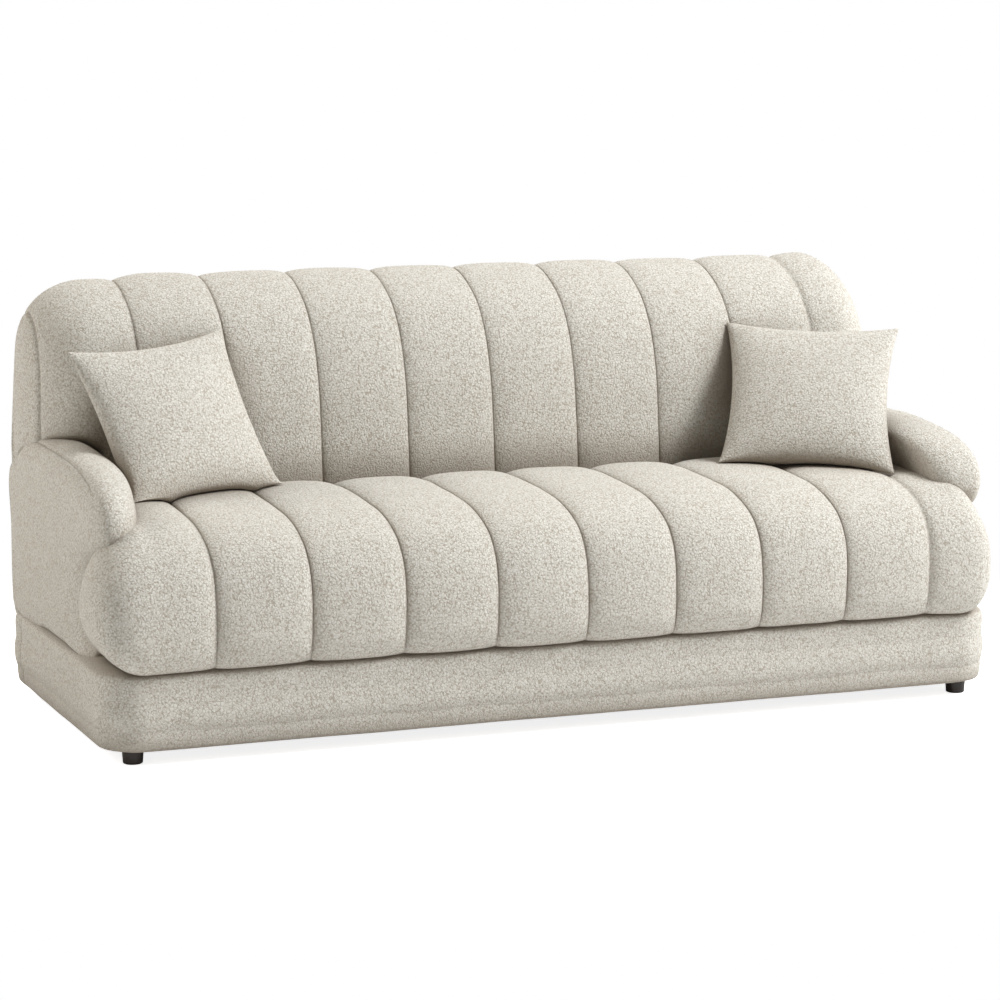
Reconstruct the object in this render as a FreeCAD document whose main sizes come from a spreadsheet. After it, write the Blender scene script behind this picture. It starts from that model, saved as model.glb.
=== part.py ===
import FreeCAD, Part
import math
import os
import re

import Sketcher

doc = FreeCAD.newDocument("sofa")

# Driving dimensions in millimetres and degrees. X runs along the sofa, the front faces -Y, Z is up.
SIZES = {
    # Upholstered base and its feet
    "base_length": 1900, "base_depth": 800, "base_round": 80, "base_low": 28, "base_high": 176,
    "base_edge": 14, "cloth": 3, "base_wad": 11, "wad_low": 45, "wad_high": 172, "turn_under": 95,
    "dust_thick": 1.5, "dust_inset": 20, "foot_r": 21, "foot_x": 889, "foot_y": 352, "foot_round": 3,
    # Timber frame of the base
    "rail": 22, "rail_low": 31, "rail_high": 161, "block": 88, "block_high": 76, "cross_high": 91,
    "inner_rail_x": 790, "deck_rail_y": 60, "cross_pitch": 460,
    # Fasteners
    "bolt_r": 4, "bolt_gap": 0.2, "head_r": 8, "head_high": 6, "stud_low": 8, "stud_high": 74,
    "nut_flange_r": 11, "nut_flange": 1.5, "nut_barrel_r": 5.2, "nut_barrel": 10,
    # Seat springs
    "spring_z": 166, "spring_wire_r": 1.8, "spring_bar": 26, "spring_tail": 10, "spring_pitch": 158,
    "clip_long": 20, "clip_wide": 14, "clip_high": 10, "pad_low": 171.5, "pad_thick": 4, "pad_half": 775,
    # Channels of the seat and back
    "seam_first": -738, "channel": 190.6, "channel_round": 16,
    # Seat cushion
    "seat_low": 178, "seat_front": 424, "seat_rear": 80, "seat_rear_high": 458, "seat_crown_y": 60,
    "seat_crown": 466, "seat_nose": 415, "seat_nose_r": 110, "seat_crown_r": 300, "seat_foot_r": 55,
    "seat_wall": 27, "seat_end": 955, "roll_rear": 205, "roll_top": 425, "roll_rear_r": 95,
    "roll_end_r": 52, "core_gap": 1, "core_low": 176, "core_half": 795, "core_end": 925, "core_r": 80,
    # Back cushion
    "back_front": 85, "back_lumbar": 440, "back_bend_y": 112, "back_bend": 690, "back_brow": 215,
    "back_top": 872, "back_rear": 422, "back_end": 943, "back_end_r": 98, "lumbar_r": 300,
    "bend_r": 200, "brow_r": 165, "rear_r": 104, "back_wall": 26, "back_skin": 5,
    "back_core_half": 770, "back_core_wide": 850, "back_core_step": 575, "back_foam_rear": 303,
    # Timber frame of the back
    "post_x": 722, "post_wide": 45, "post_deep": 35, "post_low": 40, "post_high": 790, "stile_x": 227.5,
    "top_rail_half": 840, "top_rail_high": 36, "slat_low": 200, "slat_upper": 740, "slat": 40,
    "board": 3, "web": 60, "web_thick": 2,
    # Arms
    "arm_inner": 825, "arm_outer": 950, "arm_top": 555, "arm_front": 350, "arm_chin": 415,
    "arm_throat": 230, "arm_throat_high": 330, "arm_rear": 283, "arm_nose_r": 95, "arm_top_r": 60,
    "fit_gap": 1.5, "ply": 18, "ply_inner_x": 856, "ply_outer_x": 896, "ply_front": 235,
    "ply_throat": 185, "ply_step": 455, "ply_top": 490, "ply_rear": 255, "ply_low": 182, "tongue": 60,
    "arm_bolt_y": 140, "arm_bolt_z": 110,
    # Scatter cushions
    "pillow": 340, "pillow_deep": 124, "pillow_bow": 295, "pillow_corner": 44, "pillow_skin": 2,
    "left_x": -685.7, "left_y": -1.3, "left_z": 617.7, "left_yaw": 18.7, "left_pitch": -3.4,
    "left_roll": -30.2,
    "right_x": 692, "right_y": -47, "right_z": 597.2, "right_yaw": -27.3, "right_pitch": 1.5,
    "right_roll": -39.6,
}

sheet = doc.addObject("Spreadsheet::Sheet", "dims")
for row, (alias, value) in enumerate(SIZES.items(), start=1):
    sheet.set(f"A{row}", alias)
    sheet.set(f"B{row}", str(value))
    sheet.setAlias(f"B{row}", alias)
doc.recompute()

pieces = {}


def cells(text):
    """Turn a formula in the sheet's aliases into an expression on the sheet."""
    return re.sub(r"[a-z][a-z_]*", lambda word: f"dims.{word.group()}", text)


def size(alias):
    """The value of one cell, for shapes drawn point by point."""
    return float(getattr(sheet, alias))


def bind(item, prop, text):
    item.setExpression(prop, cells(text))


def put(item, x, y, z):
    for axis, text in zip("xyz", (x, y, z)):
        bind(item, f"Placement.Base.{axis}", text)


def keep(item, label):
    item.Label = label
    pieces[label] = item
    return item


def slab(x0, x1, y0, y1, z0, z1):
    """A square-cut length between two corners."""
    box = doc.addObject("Part::Box", "slab")
    bind(box, "Length", f"({x1}) - ({x0})")
    bind(box, "Width", f"({y1}) - ({y0})")
    bind(box, "Height", f"({z1}) - ({z0})")
    put(box, x0, y0, z0)
    return box


TURNS = {
    "x": FreeCAD.Rotation(FreeCAD.Vector(0, 1, 0), 90),
    "y": FreeCAD.Rotation(FreeCAD.Vector(1, 0, 0), -90),
    "z": FreeCAD.Rotation(),
}


def rod(axis, radius, length, x, y, z):
    """A round bar that starts at a point and runs along one axis."""
    bar = doc.addObject("Part::Cylinder", "rod")
    bind(bar, "Radius", radius)
    bind(bar, "Height", length)
    bar.Placement = FreeCAD.Placement(FreeCAD.Vector(), TURNS[axis])
    put(bar, x, y, z)
    return bar


def join(kind, items):
    """A union, overlap or loose group of several objects."""
    group = doc.addObject(f"Part::{kind}", kind.lower())
    setattr(group, "Links" if kind == "Compound" else "Shapes", items)
    return group


def cut(base, *tools):
    for tool in tools:
        step = doc.addObject("Part::Cut", "cut")
        step.Base = base
        step.Tool = tool
        base = step
    return base


def mirrored(source):
    """The same piece on the other side of the sofa."""
    twin = doc.addObject("Part::Mirroring", "mirror")
    twin.Source = source
    twin.Normal = FreeCAD.Vector(1, 0, 0)
    return twin


def outline(body, plane, corners, offset="0"):
    """A closed sketch on one of the body's own planes, each corner bound to the sheet."""
    sketch = body.newObject("Sketcher::SketchObject", "outline")
    face = [item for item in body.Origin.OriginFeatures if item.Role == f"{plane}_Plane"][0]
    sketch.AttachmentSupport = [(face, "")]
    sketch.MapMode = "FlatFace"
    bind(sketch, "AttachmentOffset.Base.z", offset)
    count = len(corners)
    turns = [2 * math.pi * i / count for i in range(count)]
    ring = [FreeCAD.Vector(100 * math.cos(turn), 100 * math.sin(turn), 0) for turn in turns]
    for i in range(count):
        sketch.addGeometry(Part.LineSegment(ring[i], ring[(i + 1) % count]), False)
    for i in range(count):
        sketch.addConstraint(Sketcher.Constraint("Coincident", i, 2, (i + 1) % count, 1))
    for i, corner in enumerate(corners):
        for axis, text, start in zip("XY", corner, (ring[i].x, ring[i].y)):
            number = sketch.addConstraint(Sketcher.Constraint(f"Distance{axis}", -1, 1, i, 1, start))
            sketch.renameConstraint(number, f"{axis.lower()}_{i}")
            bind(sketch, f"Constraints.{axis.lower()}_{i}", text)
    return sketch


def prism(plane, corners, length, offset="0", midplane=False):
    """A body padded from a closed outline."""
    body = doc.addObject("PartDesign::Body", "prism")
    sketch = outline(body, plane, corners, offset)
    pad = body.newObject("PartDesign::Pad", "pad")
    pad.Profile = sketch
    bind(pad, "Length", length)
    pad.Midplane = midplane
    doc.recompute()
    return body


def rounded(body, radius, pick):
    """Round every edge of the body that the test picks."""
    base = body.Tip
    names = [f"Edge{i}" for i, edge in enumerate(base.Shape.Edges, start=1) if pick(edge.BoundBox)]
    fillet = body.newObject("PartDesign::Fillet", "fillet")
    fillet.Base = (base, names)
    bind(fillet, "Radius", radius)
    doc.recompute()
    return body


def along_x(y, z, reach=8):
    """Picks the edges along the sofa that pass near a height and depth."""
    return lambda box: box.XLength > 1 and math.hypot(box.Center.y - y, box.Center.z - z) < reach


def upright(box):
    return box.ZLength > 1 and box.XLength + box.YLength < 0.01


def rectangle(half_x, half_y):
    return [(f"-({half_x})", f"-({half_y})"), (half_x, f"-({half_y})"), (half_x, half_y),
            (f"-({half_x})", half_y)]


SIDES = (("left", "-1"), ("right", "1"))
ENDS = (("front", "-1"), ("rear", "1"))
FEET = [(f"{end}_{side}", f"{sx} * foot_x", f"{sy} * foot_y", sx, sy)
        for end, sy in ENDS for side, sx in SIDES]

# Timber base: rails, corner blocks and cross rails. The frame sits inside the wadding and the cloth.
FRAME_X = "(base_length / 2 - cloth - base_wad)"
FRAME_Y = "(base_depth / 2 - cloth - base_wad)"
RAIL_Z = ("rail_low", "rail_high")
BACK_BOLTS = [(x, z) for x in ("-1 * post_x - post_wide / 2", "-1 * stile_x - post_wide / 2",
                               "stile_x + post_wide / 2", "post_x + post_wide / 2")
              for z in ("rail_low + 40", "rail_high - 30")]

keep(slab(f"block - {FRAME_X}", f"{FRAME_X} - block", f"-1 * {FRAME_Y}", f"rail - {FRAME_Y}", *RAIL_Z),
     "base_front_rail")
rear_rail = slab(f"block - {FRAME_X}", f"{FRAME_X} - block", f"{FRAME_Y} - rail", FRAME_Y, *RAIL_Z)
rear_holes = [rod("y", "bolt_r + bolt_gap", "rail + 2", x, f"{FRAME_Y} - rail - 1", z)
              for x, z in BACK_BOLTS]
keep(cut(rear_rail, join("MultiFuse", rear_holes)), "base_rear_rail")

end_rail = slab(f"{FRAME_X} - rail", FRAME_X, f"block - {FRAME_Y}", f"{FRAME_Y} - block", *RAIL_Z)
ARM_BOLTS = [(f"{sign} * arm_bolt_y", "arm_bolt_z") for sign in ("-1", "1")]
end_holes = [rod("x", "bolt_r + bolt_gap", "rail + 2", f"{FRAME_X} - rail - 1", y, z)
             for y, z in ARM_BOLTS]
end_rail = keep(cut(end_rail, join("MultiFuse", end_holes)), "base_right_rail")
keep(mirrored(end_rail), "base_left_rail")

inner_rail = slab("inner_rail_x", "inner_rail_x + rail", f"rail - {FRAME_Y}", f"{FRAME_Y} - rail",
                  *RAIL_Z)
keep(inner_rail, "base_inner_rail_right")
keep(mirrored(inner_rail), "base_inner_rail_left")
keep(slab("-1 * inner_rail_x", "inner_rail_x", "deck_rail_y", "deck_rail_y + rail", *RAIL_Z),
     "deck_rear_rail")
for place, step in (("left", "-1"), ("centre", "0"), ("right", "1")):
    middle = f"{step} * cross_pitch"
    keep(slab(f"{middle} - rail / 2", f"{middle} + rail / 2", f"rail - {FRAME_Y}", "deck_rail_y",
              "rail_low", "cross_high"), f"cross_rail_{place}")

for place, x, y, sx, sy in FEET:
    corners = [(f"{sx} * ({FRAME_X} - {i} * block)", f"{sy} * ({FRAME_Y} - {j} * block)")
               for i, j in ((0, 0), (1, 0), (1, 1), (0, 1))]
    block = prism("XY", corners, "block_high - rail_low", "rail_low")
    reach = size("foot_x") + 20
    rounded(block, "base_round - cloth - base_wad",
            lambda box: upright(box) and abs(box.Center.x) > reach and abs(box.Center.y) > size("foot_y"))
    stud_hole = rod("z", "bolt_r + bolt_gap", "block_high", x, y, "rail_low - 1")
    nut_seat = rod("z", "nut_barrel_r + bolt_gap", "nut_barrel + 2", x, y, "block_high - nut_barrel")
    keep(cut(block, join("MultiFuse", [stud_hole, nut_seat])), f"corner_block_{place}")

    foot = doc.addObject("PartDesign::Body", "foot")
    profile = outline(foot, "XZ", [("0", "0"), ("foot_r - 2", "0"), ("foot_r", "base_low"),
                                   ("0", "base_low")])
    turned = foot.newObject("PartDesign::Revolution", "turned")
    turned.Profile = profile
    turned.ReferenceAxis = (profile, ["V_Axis"])
    turned.Angle = 360
    doc.recompute()
    rounded(foot, "foot_round", lambda box: box.ZLength < 0.01 and box.Center.z < 1 and box.XLength > 1)
    put(foot, x, y, "0")
    stud_well = rod("z", "bolt_r + bolt_gap", "base_low", x, y, "stud_low - 0.5")
    keep(cut(foot, stud_well), f"foot_{place}")

studs = [rod("z", "bolt_r", "stud_high - stud_low", x, y, "stud_low") for _, x, y, _, _ in FEET]
keep(join("Compound", studs), "foot_studs")
nuts = []
for _, x, y, _, _ in FEET:
    flange = rod("z", "nut_flange_r", "nut_flange", x, y, "block_high")
    barrel = rod("z", "nut_barrel_r", "nut_barrel", x, y, "block_high - nut_barrel")
    bore = rod("z", "bolt_r + bolt_gap / 2", "nut_barrel + 4", x, y, "block_high - nut_barrel - 1")
    nuts.append(cut(join("MultiFuse", [flange, barrel]), bore))
keep(join("Compound", nuts), "foot_tee_nuts")

# Wadding and cloth round the base. The cloth turns under the rails and the dust cloth closes the middle.
wad = rounded(prism("XY", rectangle("base_length / 2 - cloth", "base_depth / 2 - cloth"),
                    "wad_high - wad_low", "wad_low"), "base_round - cloth", upright)
wad_hole = rounded(prism("XY", rectangle(FRAME_X, FRAME_Y), "wad_high", "wad_low - 1"),
                   "base_round - cloth - base_wad", upright)
keep(cut(wad, wad_hole), "base_wadding")


def plinth(inset, low, high, edge):
    """The rounded block of the base, drawn in by an inset."""
    half = (f"base_length / 2 - {inset}", f"base_depth / 2 - {inset}")
    body = prism("XY", rectangle(*half), f"{high} - ({low})", low)
    rounded(body, f"base_round - {inset}", upright)
    floor = body.Tip.Shape.BoundBox.ZMin
    return rounded(body, edge, lambda box: box.ZLength < 0.01 and abs(box.ZMin - floor) < 0.01)


skin = plinth("0", "base_low", "base_high", "base_edge")
hollow = plinth("cloth", "base_low + cloth", "base_high + 9", "base_edge - cloth")
mouth = slab("turn_under - base_length / 2", "base_length / 2 - turn_under", "turn_under - base_depth / 2",
             "base_depth / 2 - turn_under", "0", "base_low + 20")
stud_gaps = [rod("z", "bolt_r + 1", "30", x, y, "base_low - 9") for _, x, y, _, _ in FEET]
keep(cut(skin, hollow, mouth, join("MultiFuse", stud_gaps)), "base_cover")

dust = prism("XY", rectangle("base_length / 2 - dust_inset", "base_depth / 2 - dust_inset"), "dust_thick",
             "base_low - dust_thick")
rounded(dust, "base_round - dust_inset", upright)
foot_gaps = [rod("z", "foot_r + 2", "20", x, y, "base_low - 10") for _, x, y, _, _ in FEET]
keep(cut(dust, join("MultiFuse", foot_gaps)), "dust_cover")

# Zigzag seat springs from the front rail to the deck rail, their clips and the felt over them.
SPRINGS = 10
BARS = 21
front_y = size("rail") / 2 - (size("base_depth") / 2 - size("cloth") - size("base_wad"))
rear_y = size("deck_rail_y") + size("rail") / 2
step = (rear_y - front_y) / (BARS - 1)
half_bar = size("spring_bar") / 2
path = []
side = -1
for bar in range(BARS):
    y = front_y + bar * step
    start = side * (half_bar + (size("spring_tail") if bar == 0 else 0))
    finish = -side * (half_bar + (size("spring_tail") if bar == BARS - 1 else 0))
    path.append(Part.makeLine((start, y, 0), (finish, y, 0)))
    if bar < BARS - 1:
        bulge = FreeCAD.Vector(-side * (half_bar + step / 2), y + step / 2, 0)
        turn = [FreeCAD.Vector(finish, y, 0), bulge, FreeCAD.Vector(finish, y + step, 0)]
        path.append(Part.Arc(*turn).toShape())
    side = -side
tail = path[0].Vertexes[0].Point
wire_end = Part.Wire([Part.makeCircle(size("spring_wire_r"), tail, FreeCAD.Vector(1, 0, 0))])
spring = Part.Wire(path).makePipeShell([wire_end], True, False)
spring_x = [(i - (SPRINGS - 1) / 2) for i in range(SPRINGS)]
springs = doc.addObject("Part::Feature", "springs")
spring_places = [FreeCAD.Vector(i * size("spring_pitch"), 0, size("spring_z")) for i in spring_x]
springs.Shape = Part.makeCompound([spring.translated(place) for place in spring_places])
keep(springs, "seat_springs")

clips = []
for i in spring_x:
    for y in (f"rail / 2 - {FRAME_Y}", "deck_rail_y + rail / 2"):
        middle = f"({i}) * spring_pitch"
        clip = slab(f"{middle} - clip_long / 2", f"{middle} + clip_long / 2", f"{y} - clip_wide / 2",
                    f"{y} + clip_wide / 2", "rail_high", "rail_high + clip_high")
        eye = rod("x", "spring_wire_r + 0.3", "clip_long + 2", f"{middle} - clip_long / 2 - 1", y,
                  "spring_z")
        clips.append(cut(clip, eye))
keep(join("Compound", clips), "spring_clips")
keep(slab("-1 * pad_half", "pad_half", f"-1 * {FRAME_Y}", "deck_rail_y + rail - 4", "pad_low",
          "pad_low + pad_thick"), "spring_felt")

# Seat: a T-shaped foam core under a channelled cover. The front roll runs past the arms at both ends.
SEAT = [("seat_rear", "seat_low"), ("seat_rear", "seat_rear_high"), ("-1 * seat_crown_y", "seat_crown"),
        ("-1 * seat_front", "seat_nose"), ("-1 * seat_front", "seat_low")]


def seat_run(length, offset):
    """A length of the seat's section, rounded at the crown, nose and foot."""
    body = prism("YZ", SEAT, length, offset)
    rounded(body, "seat_crown_r", along_x(-size("seat_crown_y"), size("seat_crown")))
    rounded(body, "seat_nose_r", along_x(-size("seat_front"), size("seat_nose")))
    return rounded(body, "seat_foot_r", along_x(-size("seat_front"), size("seat_low")))


def channel_ends(body, radius, rear, low, faces):
    """Round the padded edges of a channel's end faces, leaving those that stay hidden."""
    ends = [getattr(body.Tip.Shape.BoundBox, face) for face in faces]
    return rounded(body, radius, lambda box: box.XLength < 0.01 and abs(box.YMin - rear) > 0.5
                   and min(abs(box.XMin - x) for x in ends) < 0.01 and box.ZMax > low + 0.5)


def patterned(body, count):
    """Repeat a channel along the sofa."""
    row = body.newObject("PartDesign::LinearPattern", "channels")
    row.TransformMode = "Whole shape"
    row.Direction = ([item for item in body.Origin.OriginFeatures if item.Role == "X_Axis"][0], [""])
    row.Mode = "Spacing"
    bind(row, "Offset", "channel")
    row.Occurrences = count
    body.Tip = row
    doc.recompute()
    return body


def roll(offset, length, grow, face):
    """One end of the front roll, which bulges past the base and is domed on the outside."""
    back, nose = f"{grow} - roll_rear", f"-1 * seat_front - {grow}"
    low, high = f"seat_low - {grow}", f"roll_top + {grow}"
    body = prism("YZ", [(back, low), (back, high), (nose, high), (nose, low)], length, offset)
    rear, front = -size("roll_rear"), -size("seat_front")
    rounded(body, f"roll_rear_r + {grow}", along_x(rear, size("roll_top"), 12))
    rounded(body, f"seat_nose_r + {grow}", along_x(front, size("roll_top"), 12))
    rounded(body, f"seat_foot_r + {grow}", along_x(rear, size("seat_low"), 12))
    rounded(body, f"seat_foot_r + {grow}", along_x(front, size("seat_low"), 12))
    return channel_ends(body, f"roll_end_r + {grow}", 0, 0, [face])


def seat_core(gap, low):
    """The foam core's shape: a block between the arms and a full-width nose, less a gap."""
    wall = f"(seat_wall - {gap})"
    rear, front = f"seat_rear - {wall}", f"{wall} - seat_front"
    roll_back, roll_high = f"-1 * roll_rear - {wall}", f"roll_top - {wall}"
    block = prism("YZ", [(rear, low), (rear, f"seat_rear_high - {wall}"),
                         ("-1 * seat_crown_y", f"seat_crown - {wall}"),
                         (front, f"seat_nose - {wall}"), (front, low)],
                  f"2 * core_half + 2 * {gap}", midplane=True)
    front_y = size("seat_wall") - size("seat_front")
    rounded(block, "core_r", along_x(front_y, size("seat_nose") - size("seat_wall")))
    nose = prism("YZ", [(roll_back, low), (roll_back, roll_high), (front, roll_high), (front, low)],
                 f"2 * core_end + 2 * {gap}", midplane=True)
    for y in (-size("roll_rear") - size("seat_wall"), front_y):
        rounded(nose, "core_r - 8", along_x(y, size("roll_top") - size("seat_wall")))
    return join("MultiFuse", [block, nose])


LAST_SEAM = "seam_first + 8 * channel"
seat_channels = channel_ends(seat_run("channel", "seam_first"), "channel_round", size("seat_rear"),
                             size("seat_low"), ["XMin", "XMax"])
patterned(seat_channels, 8)
seat_sides = []
for offset, length, face in (("2 - arm_inner", "arm_inner - 2 + seam_first", "XMin"),
                             (LAST_SEAM, f"arm_inner - 2 - ({LAST_SEAM})", "XMax")):
    seat_sides.append(channel_ends(seat_run(length, offset), "channel_round", size("seat_rear"),
                                   size("seat_low"), [face]))
roll_left = roll("-1 * seat_end", "seat_end + seam_first", "0", "XMin")
roll_right = roll(LAST_SEAM, f"seat_end - ({LAST_SEAM})", "0", "XMax")
seat_skin = join("MultiFuse", [seat_channels, roll_left, roll_right] + seat_sides)
keep(cut(seat_skin, seat_core("core_gap", "core_low - 20")), "seat_cover")
keep(seat_core("0", "core_low"), "seat_foam")

# Arms: two plywood sides with spacers, foam over them and a cover. The nose sits over the seat's roll.


def arm_block(grow, low):
    """The right arm's outer form, grown or drawn in."""
    rear, high = f"arm_rear + {grow}", f"arm_top + {grow}"
    front, throat = f"-1 * arm_front - {grow}", f"-1 * arm_throat - {grow}"
    body = prism("YZ", [(rear, low), (rear, high), (front, high), (front, "arm_chin"),
                        (throat, "arm_throat_high"), (throat, low)],
                 f"arm_outer - arm_inner + 2 * {grow}", f"arm_inner - {grow}")
    rounded(body, f"arm_nose_r + {grow}", along_x(-size("arm_front"), size("arm_top"), 12))
    end = body.Tip.Shape.BoundBox.YMax
    return rounded(body, f"arm_top_r + {grow}", lambda box: box.XLength < 0.01 and box.YMin < end - 0.5
                   and box.ZMin > size("arm_chin") - 1)


def roll_tool(grow):
    return roll("0", f"seat_end + {grow}", grow, "XMax")


PLY = [("ply_rear", "ply_low"), ("ply_rear", "ply_top"), ("-1 * ply_front", "ply_top"),
       ("-1 * ply_front", "ply_step"), ("-1 * ply_throat", "ply_step"), ("-1 * ply_throat", "ply_low")]
PLY_TONGUE = [(y, "tongue" if z == "ply_low" else z) for y, z in PLY]
PLY_ROOM = [("ply_rear + 1", "tongue"), ("ply_rear + 1", "ply_top + 1"),
            ("-1 * ply_front - 1", "ply_top + 1"), ("-1 * ply_front - 1", "ply_step - 1"),
            ("-1 * ply_throat - 1", "ply_step - 1"), ("-1 * ply_throat - 1", "tongue")]

arm_hollow = cut(arm_block("(-1 * cloth)", "seat_low - 20"), roll_tool("(fit_gap + cloth)"))
arm_cover = cut(arm_block("0", "seat_low"), roll_tool("fit_gap"), arm_hollow)
ply_room = prism("YZ", PLY_ROOM, "ply_outer_x + ply - ply_inner_x + 2", "ply_inner_x - 1")
arm_foam = cut(arm_block("(-1 * cloth - 1)", "seat_low + 2"), roll_tool("(fit_gap + cloth + 1)"), ply_room)
outer_ply = prism("YZ", PLY_TONGUE, "ply", "ply_outer_x")
ply_holes = [rod("x", "bolt_r + bolt_gap", "ply + 2", "ply_outer_x - 1", y, z) for y, z in ARM_BOLTS]
spacer_x = ("ply_inner_x + ply", "ply_outer_x")
spacers = [slab(*spacer_x, "-1 * ply_throat", "rail - ply_throat", "ply_low", "ply_top - rail"),
           slab(*spacer_x, "ply_rear - rail", "ply_rear", "ply_low", "ply_top - rail")]
arm_pieces = {
    "arm_cover": arm_cover,
    "arm_foam": arm_foam,
    "arm_outer_panel": cut(outer_ply, join("MultiFuse", ply_holes)),
    "arm_inner_panel": prism("YZ", PLY, "ply", "ply_inner_x"),
    "arm_top_rail": slab(*spacer_x, "-1 * ply_front", "ply_rear", "ply_top - rail", "ply_top"),
    "arm_spacers": join("Compound", spacers),
}
for name, piece in arm_pieces.items():
    keep(piece, f"{name}_right")
    keep(mirrored(piece), f"{name}_left")


def bolt(axis, sign, length, x, y, z):
    """A bolt whose head rests on the point given; the shank runs along the axis."""
    places = {"x": x, "y": y, "z": z}
    head_at = dict(places, **{axis: f"{places[axis]} - {'0' if sign == '-1' else 'head_high'}"})
    shank_at = dict(places, **{axis: f"{places[axis]} - {length if sign == '-1' else '0'}"})
    head = rod(axis, "head_r", "head_high", *head_at.values())
    shank = rod(axis, "bolt_r", length, *shank_at.values())
    return join("MultiFuse", [head, shank])


keep(join("Compound", [bolt("x", sign, "ply + rail - 2", f"{sign} * ply_outer_x", y, z)
                       for _, sign in SIDES for y, z in ARM_BOLTS]), "arm_bolts")

# Back: posts and rails on the rear rail of the base, webbing, foam, wadding and a channelled cover.
POST_Y = (f"{FRAME_Y} - rail - post_deep", f"{FRAME_Y} - rail")
for name, x in (("back_post", "post_x"), ("back_stile", "stile_x")):
    post = slab(x, f"{x} + post_wide", *POST_Y, "post_low", "post_high")
    holes = [rod("y", "bolt_r + bolt_gap", "post_deep + 2", f"{x} + post_wide / 2", f"{POST_Y[0]} - 1", z)
             for z in ("rail_low + 40", "rail_high - 30")]
    post = keep(cut(post, join("MultiFuse", holes)), f"{name}_right")
    keep(mirrored(post), f"{name}_left")
keep(join("Compound", [bolt("y", "1", "post_deep + rail - 3", x, POST_Y[0], z) for x, z in BACK_BOLTS]),
     "back_bolts")
keep(slab("-1 * top_rail_half", "top_rail_half", *POST_Y, "post_high", "post_high + top_rail_high"),
     "back_top_rail")
SLAT_X = ("-1 * post_x - post_wide", "post_x + post_wide")
SLAT_Y = (f"{POST_Y[0]} - rail", POST_Y[0])
keep(slab(*SLAT_X, *SLAT_Y, "slat_low", "slat_low + slat"), "back_lower_slat")
keep(slab(*SLAT_X, *SLAT_Y, "slat_upper", "slat_upper + slat"), "back_upper_slat")
keep(join("Compound", [slab(f"({i}) * spring_pitch - web / 2", f"({i}) * spring_pitch + web / 2",
                            f"{SLAT_Y[0]} - web_thick", SLAT_Y[0], "slat_low + 5", "slat_upper + slat - 5")
                       for i in spring_x]), "back_webbing")
keep(slab("-1 * post_x - post_wide + 7", "post_x + post_wide - 7", POST_Y[1], f"{POST_Y[1]} + board",
          "seat_low + 2", "post_high + top_rail_high"), "back_board")


def back_section(wall, skin_wall, low):
    """The back's section, drawn in by a wall at the front and top and a thinner one behind."""
    return [(f"back_front + {wall}", low), (f"back_front + {wall}", "back_lumbar"),
            (f"back_bend_y + {wall}", "back_bend"), (f"back_brow + {wall}", f"back_top - {wall}"),
            (f"back_rear - {skin_wall}", f"back_top - {wall}"), (f"back_rear - {skin_wall}", low)]


def back_run(length, offset, wall="0", skin_wall="0", low="seat_low", midplane=False):
    """A length of the back, rounded over the top."""
    body = prism("YZ", back_section(wall, skin_wall, low), length, offset, midplane)
    inset = 0 if wall == "0" else size("back_wall")
    rounded(body, "lumbar_r", along_x(size("back_front") + inset, size("back_lumbar")))
    rounded(body, "bend_r", along_x(size("back_bend_y") + inset, size("back_bend")))
    rounded(body, f"brow_r - {wall}", along_x(size("back_brow") + inset, size("back_top") - inset, 12))
    return rounded(body, f"rear_r - {skin_wall}", along_x(size("back_rear"), size("back_top") - inset, 12))


def back_core(gap, near, far, low):
    """The room inside the back: narrow between the arms and wide above them."""
    narrow, wide = f"(back_core_half - {gap})", f"(back_core_wide - {gap})"
    run = back_run(f"2 * {wide}", "0", f"(back_wall + {gap})", f"(back_skin + {gap})", low, True)
    step = f"back_core_step + {gap}"
    half = [(narrow, low), (narrow, step), (wide, step), (wide, "back_top")]
    other_half = [(f"-1 * {x}", z) for x, z in reversed(half)]
    tee = prism("XZ", half + other_half, f"{far} - ({near})", f"-1 * ({far})")
    return join("MultiCommon", [run, tee])


back_channels = channel_ends(back_run("channel", "seam_first"), "channel_round", size("back_rear"),
                             size("seat_low"), ["XMin", "XMax"])
patterned(back_channels, 8)
back_ends = []
for offset, length, face in (("-1 * back_end", "back_end + seam_first", "XMin"),
                             (LAST_SEAM, f"back_end - ({LAST_SEAM})", "XMax")):
    back_ends.append(channel_ends(back_run(length, offset), "back_end_r", 0, size("seat_low"), [face]))
arm_tool = arm_block("fit_gap", "seat_low - 20")
outside_back = slab("back_end_r - back_end", "back_end - back_end_r", "back_rear - rail", "back_rear",
                    "seat_low", "back_top - rear_r")
keep(cut(join("MultiFuse", [back_channels, outside_back] + back_ends), arm_tool, mirrored(arm_tool),
         back_core("0", "0", "back_rear + 9", "seat_low - 20")), "back_cover")
keep(back_core("1", "0", "back_foam_rear", "seat_low + 2"), "back_foam")
keep(back_core("1", f"{POST_Y[1]} + board + 1", "back_rear + 9", "seat_low + 7"), "back_wadding")

# Scatter cushions: a fibre filling in a sewn cover, leaning on the back beside each arm.


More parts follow.
